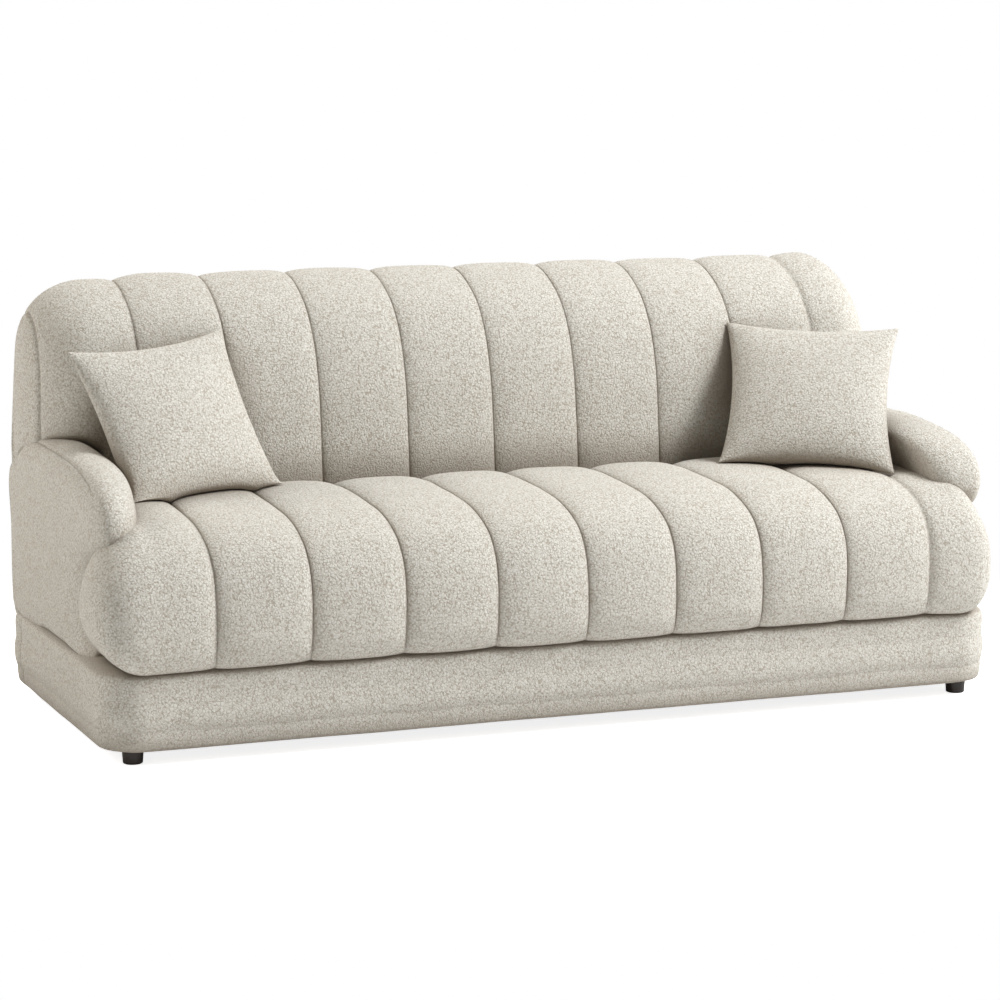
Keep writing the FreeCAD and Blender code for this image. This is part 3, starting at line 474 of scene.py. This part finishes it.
for x, w in places:
    mix = smooth(ramp(abs(x), roll_from, roll_span))
    loop = seat_loop * (1 - mix) + roll_loop * mix
    rise = seat_rise * fullness(x, seams, channel)
    ring = loop[:, :2] + outward(loop) * (rise * np.clip(loop[:, 2], 0, 1))[:, None]
    ring = dome_middle + (ring - dome_middle) * [(1 - (1 - w) ** p) ** (1 / p) for p in dome_powers]
    rings.append(np.column_stack([np.full(len(ring), x), ring]))
sewn = [i for i, (x, _) in enumerate(places) if min(abs(x - s) for s in seams) < 1e-6]
seat = skin_of("seat_cushion", rings, (-0.0015, 0.0015), sewn=sewn)
slacken(seat, 0.0025, 0.14)
cover(seat, boucle, "sofa", 0.8, "seat_cover", "seat_foam")


# Arms: a plywood frame in foam under a tight cover, round over the top and nose and flat down the outside.
# A seam runs along the top's outer edge, round the nose and down. The nose rests on the seat's front roll.
arm_in, arm_outs, arm_flats = 0.825, (0.948, 0.962), (1.0, 0.40)
arm_tails, tail_from, tail_span = (0.0, 0.006), 0.10, 0.25
nose_taper, nose_from, nose_span = 0.026, -0.100, -0.22
arm_groove, groove_from, groove_span = 0.0035, -0.32, 0.12
# The arm from the side: Y and Z of its edge, the rounding outside and inside, Y and Z of its flat middle.
arm_profile = through([
    (-0.322, 0.398, 0.042, 0.045, -0.224, 0.426), (-0.337, 0.430, 0.040, 0.066, -0.234, 0.439),
    (-0.333, 0.463, 0.040, 0.074, -0.234, 0.448), (-0.308, 0.497, 0.044, 0.074, -0.222, 0.457),
    (-0.262, 0.522, 0.050, 0.070, -0.190, 0.468), (-0.186, 0.540, 0.054, 0.066, -0.140, 0.482),
    (-0.090, 0.552, 0.057, 0.062, -0.070, 0.492), (0.020, 0.559, 0.058, 0.060, 0.030, 0.498),
    (0.130, 0.561, 0.058, 0.060, 0.130, 0.503), (0.215, 0.560, 0.052, 0.058, 0.225, 0.506),
    (0.265, 0.548, 0.036, 0.045, 0.312, 0.500), (0.285, 0.505, 0.022, 0.020, 0.376, 0.482),
    (0.286, 0.350, 0.022, 0.012, 0.389, 0.350), (0.285, 0.215, 0.018, 0.012, 0.388, 0.208),
    (0.274, 0.1785, 0.010, 0.012, 0.382, 0.1900), (0.100, 0.1785, 0.014, 0.012, 0.100, 0.1940),
    (-0.060, 0.1785, 0.014, 0.012, 0.000, 0.1930), (-0.170, 0.1785, 0.014, 0.012, -0.030, 0.1925),
    (-0.228, 0.1785, 0.026, 0.012, -0.042, 0.1960), (-0.224, 0.214, 0.058, 0.018, -0.034, 0.235),
    (-0.214, 0.272, 0.060, 0.022, -0.040, 0.290), (-0.220, 0.320, 0.060, 0.024, -0.070, 0.345),
    (-0.262, 0.364, 0.056, 0.028, -0.140, 0.392)],
    [6, 7, 7, 8, 10, 12, 12, 12, 8, 6, 6, 8, 6, 4, 8, 8, 6, 6, 6, 8, 8, 8, 8], closed=True)
arm_edge = arm_profile[:, :2]
out_round, in_round = arm_profile[:, 2], arm_profile[:, 3]
seam_turn = 52
arms = []
for end, (side, name) in enumerate(((-1, "left"), (1, "right"))):
    arm_out, flat = arm_outs[end], arm_flats[end]
    wide = arm_out - arm_in
    nearer = np.where(arm_profile[:, 4] < 0, flat, 1)[:, None]
    arm_core = arm_edge + (arm_profile[:, 4:] - arm_edge) * nearer
    arm_turns = [(arm_in, in_round, a, 0) for a in np.linspace(0, 90, 11)]
    arm_turns += [(arm_out, -out_round, a, arm_groove * (a == seam_turn))
                  for a in (85, 76, 68, 61, 55.5, seam_turn, 48.5, 42, 34, 25, 16, 8, 0)]
    rings = []
    for start, round_by, a, groove in arm_turns:
        x = start + round_by * (1 - math.cos(math.radians(a)))
        inset = 1 - math.sin(math.radians(a))
        sunk = groove * ramp(arm_edge[:, 0], groove_from, groove_span)[:, None]
        ring = arm_edge * (1 - inset) + arm_core * inset - outward(arm_edge) * sunk
        x = x + (arm_out - x) / wide * nose_taper * smooth(ramp(ring[:, 0], nose_from, nose_span))
        x = x - (x - arm_in) / wide * arm_tails[end] * ramp(ring[:, 0], tail_from, tail_span)
        rings.append(np.column_stack([side * x, ring]))
    sewn = [i for i, turned in enumerate(arm_turns) if turned[3]]
    arm = skin_of(f"arm_{name}", rings, (side * -0.002, side * 0.003), sewn=sewn)
    slacken(arm, 0.0012, 0.10)
    cover(arm, boucle, "sofa", 0.8, f"arm_cover_{name}", f"arm_foam_{name}")
    arms.append(arm)


# Back: foam on elastic webbing under a cover sewn into ten channels, which run over the top to the plain
# panel of the outside back. A boxed end closes each side behind a round corner. It sits on the arms.
back_rise = 0.011
back_ends, back_leans = (0.946, 0.956), (0.015, 0.005)
back_corners, end_depths, back_drops = (0.125, 0.105), (0.30, 0.90), (0.012, -0.004)
arm_crown, crown_height, crown_round, arm_rear = 0.888, 0.500, 0.060, 0.281
tuck_depth = 0.012
back_steps = [6, 5, 5, 8, 8, 7, 7, 7, 6, 5, 5, 6, 10, 12, 14, 8, 3, 6]
# The back's section, as Y, Z and the share of a channel's rise, and then the outline of its boxed end.
back_loop = through([
    (0.250, 0.1785, 0), (0.112, 0.1785, 0), (0.094, 0.300, 1), (0.0945, 0.445, 1), (0.104, 0.560, 1),
    (0.1195, 0.660, 1), (0.149, 0.740, 1), (0.190, 0.795, 1), (0.250, 0.836, 1), (0.312, 0.859, 1),
    (0.352, 0.862, 1), (0.388, 0.845, 0.8), (0.409, 0.806, 0), (0.420, 0.700, 0), (0.423, 0.550, 0),
    (0.421, 0.350, 0), (0.416, 0.210, 0), (0.404, 0.1785, 0)], back_steps, closed=True)
end_panel = through([
    (0.260, 0.181), (0.205, 0.181), (0.190, 0.300), (0.191, 0.445), (0.201, 0.555), (0.215, 0.640),
    (0.234, 0.695), (0.258, 0.723), (0.288, 0.743), (0.315, 0.750), (0.335, 0.749), (0.352, 0.737),
    (0.360, 0.712), (0.367, 0.640), (0.372, 0.530), (0.378, 0.340), (0.386, 0.200), (0.380, 0.181)],
    back_steps, closed=True)
panel_rear = 0.372
back_way = outward(back_loop)
gusset_turn, gusset_groove = 30, 0.0060
end_turns = [math.radians(a) for a in (0, 8, 16, 23, 28, gusset_turn, 32, 37, 44, 52, 61, 70, 80, 90)]
end_insets = [(1 - math.sin(a), gusset_groove * (a == math.radians(gusset_turn))) for a in end_turns]
lobe = np.sin(np.linspace(1, 0, 9)[1:-1] * math.pi / 2) ** lobe_power
columns = []
for a, (inset, groove) in zip(end_turns, end_insets):
    columns.append((-back_ends[0] + back_corners[0] * (1 - math.cos(a)) + groove, inset, groove))
columns += [(seams[0] - (back_ends[0] - back_corners[0] + seams[0]) * s, 0, 0) for s in lobe]
columns += [(x, 0, 0) for x in across_channels(seams, 22)]
columns += [(seams[-1] + (back_ends[1] - back_corners[1] - seams[-1]) * s, 0, 0) for s in lobe[::-1]]
for a, (inset, groove) in zip(end_turns[::-1], end_insets[::-1]):
    columns.append((back_ends[1] - back_corners[1] * (1 - math.cos(a)) - groove, inset, groove))
rings = []
for x, inset, groove in columns:
    rise = back_rise * fullness(x, seams, channel) * np.clip(back_loop[:, 2], 0, 1) - groove
    panel = end_panel.copy()
    end = int(x > 0)
    panel[:, 0] -= (1 - end_depths[end]) * np.minimum(panel[:, 0] - panel_rear, 0)
    ring = (back_loop[:, :2] + back_way * rise[:, None]) * (1 - inset) + panel * inset
    lean = ramp(ring[:, 1], 0.52, 0.30) * ramp(abs(x), 0.60, 0.34)
    drop = ramp(ring[:, 1], 0.55, 0.30) * ramp(abs(x), 0.68, 0.18)
    ring[:, 1] -= back_drops[end] * drop
    x = x - np.sign(x) * back_leans[end] * lean
    # Over an arm the end stands on the arm's round top, beside it the end is cut back behind the arm, and
    # where the two meet outside the cover is tucked in.
    wide = ramp(abs(x), 0.915, 0.02)
    off = np.clip(abs(abs(x) - arm_crown) - 0.003, 0, crown_round)
    arm_top = crown_height + np.sqrt(crown_round ** 2 - off ** 2)
    arm_top += wide * (0.508 - 0.24 * np.clip(ring[:, 0] - 0.27, 0, 0.12) - arm_top)
    under = ramp(ring[:, 1], arm_top - 0.004, -0.02) * ramp(abs(x), 0.828, 0.015)
    ring[:, 0] += under * np.clip(arm_rear - ring[:, 0], 0, 1)
    flush = arm_outs[end] - arm_tails[end] - 0.0015 - 0.026 * ramp(ring[:, 0], 0.390, -0.104) ** 2
    tuck = tuck_depth * wide * np.exp(-((ring[:, 1] - arm_top) / 0.024) ** 2) * ramp(ring[:, 0], 0.385, -0.05)
    x = x - np.sign(x) * (under * np.clip(abs(x) - flush, 0, 1) + tuck)
    rings.append(np.column_stack([x, ring]))
sewn = [i for i, (x, _, groove) in enumerate(columns) if groove or min(abs(x - s) for s in seams) < 1e-6]
back = skin_of("back_cushion", rings, (-0.004, 0.004), sewn=sewn)
slacken(back, 0.002, 0.15)
cover(back, boucle, "sofa", 0.7, "back_cover", "back_foam", "back_wadding")


# Scatter cushions: two square covers of the same boucle, each two panels sewn edge to edge and stuffed with
# polyester fibre. Blown full by cloth simulation from a loose cover, then pressed flat where they rest.
def eased(piece, move, times):
    """Moves of a mesh's points, evened out between neighbours a number of times."""
    joined = np.array([e.vertices[:] for e in piece.data.edges])
    many = np.bincount(joined.ravel(), minlength=len(move))[:, None]
    for _ in range(times):
        around = np.zeros_like(move)
        np.add.at(around, joined[:, 0], move[joined[:, 1]])
        np.add.at(around, joined[:, 1], move[joined[:, 0]])
        move = 0.5 * move + 0.5 * around / many
    return move


def fill_out(piece, pressure, most):
    """Fills a closed cover by cloth simulation, its seam held and each point moving at most so far."""
    trial = piece.copy()
    trial.data = piece.data.copy()
    bpy.context.collection.objects.link(trial)
    filling = trial.modifiers.new("filling", "CLOTH")
    cloth = filling.settings
    cloth.quality = 6
    cloth.mass = 0.25
    cloth.tension_stiffness = 25
    cloth.compression_stiffness = 25
    cloth.shear_stiffness = 8
    cloth.bending_stiffness = 3
    cloth.vertex_group_mass = "sewn"
    cloth.use_pressure = True
    cloth.uniform_pressure_force = pressure
    cloth.effector_weights.gravity = 0
    filling.collision_settings.use_collision = False
    for step in range(1, 21):
        bpy.context.scene.frame_set(step)
    shape = trial.evaluated_get(bpy.context.evaluated_depsgraph_get()).data
    at = np.array([v.co for v in piece.data.vertices])
    move = np.array([v.co for v in shape.vertices]) - at
    move *= np.minimum(1, most / np.maximum(np.linalg.norm(move, axis=1), 1e-9))[:, None]
    piece.data.vertices.foreach_set("co", (at + eased(piece, move, 2)).ravel())
    bpy.data.objects.remove(trial)
    bpy.context.scene.frame_set(1)


def loose_cover(name, span, bow, thick, steps):
    """A square cover of two panels that share their edge, half full, its sides drawn in."""
    at, points, faces = {}, [], []
    for face in (-1, 1):
        for i in range(steps + 1):
            for j in range(steps + 1):
                u, v = 2 * i / steps - 1, 2 * j / steps - 1
                edge = abs(u) == 1 or abs(v) == 1
                key = (0 if edge else face, i, j)
                if key in at:
                    continue
                at[key] = len(points)
                full = ((1 - u * u) * (1 - v * v)) ** 0.5
                points.append((u * (span / 2 - bow * (1 - v * v)), face * thick / 2 * full,
                               v * (span / 2 - bow * (1 - u * u))))
        for i in range(steps):
            for j in range(steps):
                ring = [(i, j), (i + 1, j), (i + 1, j + 1), (i, j + 1)]
                ids = []
                for a, b in ring:
                    edge = a in (0, steps) or b in (0, steps)
                    ids.append(at[(0 if edge else face, a, b)])
                faces.append(ids if face < 0 else ids[::-1])
    mesh = bpy.data.meshes.new(name)
    mesh.from_pydata(points, [], faces)
    mesh.polygons.foreach_set("use_smooth", [True] * len(mesh.polygons))
    made = bpy.data.objects.new(name, mesh)
    bpy.context.collection.objects.link(made)
    sewn = [n for (face, _, _), n in at.items() if face == 0]
    made.vertex_groups.new(name="sewn").add(sewn, 1.0, "REPLACE")
    return made


def rest_on(piece, trees, gap):
    """Moves the points of a piece that lie within others out to their surface, and eases those around."""
    mesh, near = piece.data, 0.06
    for times in (20, 8, 3, 0):
        at = np.array([v.co for v in mesh.vertices])
        push = np.zeros_like(at)
        for i, p in enumerate(at):
            spot = Vector(p)
            for held in trees:
                hit, way, _, away = held.find_nearest(spot)
                if away < near and (spot - hit).dot(way) < gap:
                    spot = hit + way * gap
            push[i] = np.array(spot) - p
        mesh.vertices.foreach_set("co", (at + eased(piece, push, times)).ravel())
    mesh.update()


bpy.context.view_layer.update()
state = bpy.context.evaluated_depsgraph_get()
carriers = [BVHTree.FromObject(piece, state) for piece in (seat, back, *arms)]
pillow_span, pillow_bow, pillow_thick, pillow_steps = 0.380, 0.022, 0.110, 44
for name, centre, turn_of in (("left", (-0.694, -0.002, 0.600), (-30.2, -3.4, 18.7)),
                              ("right", (0.692, -0.047, 0.5972), (-39.6, 1.5, -27.3))):
    pillow = loose_cover(f"scatter_cushion_{name}", pillow_span, pillow_bow, pillow_thick, pillow_steps)
    fill_out(pillow, pressure=3.0, most=0.050)
    turned = Euler([math.radians(a) for a in turn_of]).to_matrix()
    for v in pillow.data.vertices:
        v.co = turned @ v.co + Vector(centre)
    rest_on(pillow, carriers, gap=0.002)
    cover(pillow, boucle, f"cushion_{name}", 0.7, f"pillow_cover_{name}", f"pillow_filling_{name}")


# Stage: a plain pale floor under soft studio light, with the camera where the photograph was taken from.
far = 20
floor_mesh = bpy.data.meshes.new("floor")
floor_mesh.from_pydata([(-far, -far, 0), (far, -far, 0), (far, far, 0), (-far, far, 0)], [], [(0, 1, 2, 3)])
floor = bpy.data.objects.new("floor", floor_mesh)
bpy.context.collection.objects.link(floor)

# Studio paper: white and matt, lit a little where it is looked at, and gone two metres from the middle.
paper, tree, place = new_finish("studio_paper")
seen = add(tree, "ShaderNodeLightPath", {})
matt = add(tree, "ShaderNodeBsdfDiffuse", {"Color": linear("#f6f6f6")})
glow = add(tree, "ShaderNodeEmission", {"Color": (1, 1, 1, 1), "Strength": 0.84})
lift = add(tree, "ShaderNodeAddShader", {0: matt.outputs[0], 1: glow.outputs[0]})
pick = add(tree, "ShaderNodeMixShader", {0: seen.outputs["Is Camera Ray"], 1: matt.outputs[0],
                                         2: lift.outputs[0]})
away = add(tree, "ShaderNodeVectorMath", {0: place}, operation="LENGTH")
fade = add(tree, "ShaderNodeMapRange", {"Value": away.outputs["Value"], "From Min": 1.1, "From Max": 1.9},
           interpolation_type="SMOOTHSTEP")
fade = add(tree, "ShaderNodeMath", {0: fade.outputs[0], 1: seen.outputs["Is Camera Ray"]},
           operation="MULTIPLY")
clear = add(tree, "ShaderNodeBsdfTransparent", {})
edge = add(tree, "ShaderNodeMixShader", {0: fade.outputs[0], 1: pick.outputs[0], 2: clear.outputs[0]})
add(tree, "ShaderNodeOutputMaterial", {"Surface": edge.outputs[0]})
floor_mesh.materials.append(paper)

# Air: a soft warm white from all sides, darker from the front left, and plain white where it is looked at.
world = bpy.data.worlds.new("studio")
bpy.context.scene.world = world
world.use_nodes = True
tree = world.node_tree
tree.nodes.clear()
seen = add(tree, "ShaderNodeLightPath", {})
direct = add(tree, "ShaderNodeMath", {0: seen.outputs["Is Camera Ray"], 1: seen.outputs["Is Glossy Ray"]},
             operation="MAXIMUM")
direct = add(tree, "ShaderNodeMath", {0: direct.outputs[0], 1: seen.outputs["Is Transmission Ray"]},
             operation="MAXIMUM")
aim = add(tree, "ShaderNodeTexCoord", {})
aim = add(tree, "ShaderNodeVectorMath", {0: aim.outputs["Generated"], 1: (-0.50, -0.84, 0.20)},
          operation="DOT_PRODUCT")
dim = add(tree, "ShaderNodeMapRange", {"Value": aim.outputs["Value"], "From Min": 0.2, "From Max": 0.95,
                                       "To Min": 0.46, "To Max": 0.08})
air = add(tree, "ShaderNodeBackground", {"Color": linear("#fffcf7"), "Strength": dim.outputs[0]})
white = add(tree, "ShaderNodeBackground", {"Color": (1, 1, 1, 1), "Strength": 1.0})
pick = add(tree, "ShaderNodeMixShader", {0: direct.outputs[0], 1: air.outputs[0], 2: white.outputs[0]})
add(tree, "ShaderNodeOutputWorld", {"Surface": pick.outputs[0]})

# Lamps: a large cool key from above on the right, and a weak warm fill from behind on the left.
aim_at = Vector((0, 0, 0.4))
for name, spot, size, power, tone in (("key", (5.2, -2.7, 6.1), 2.8, 760, "#fafcff"),
                                      ("fill", (-4.6, 2.6, 4.0), 3.0, 150, "#fffaf3")):
    lamp = bpy.data.lights.new(name, "AREA")
    lamp.size = size
    lamp.energy = power
    lamp.color = linear(tone)[:3]
    held = bpy.data.objects.new(name, lamp)
    held.location = spot
    held.rotation_euler = (aim_at - Vector(spot)).to_track_quat("-Z", "Y").to_euler()
    bpy.context.collection.objects.link(held)

# Camera: fitted to the straight lines of the base, the channels and the feet.
camera_down, camera_turn = 8.674, -21.417
camera = bpy.data.cameras.new("camera")
camera.lens = 115.862
camera.sensor_width = 36
eye = bpy.data.objects.new("camera", camera)
eye.location = (-2.42240719, -6.17489061, 1.41871187)
eye.rotation_euler = (math.radians(90 - camera_down), 0, math.radians(camera_turn))
bpy.context.collection.objects.link(eye)
bpy.context.scene.camera = eye
bpy.context.scene.view_settings.view_transform = "Standard"
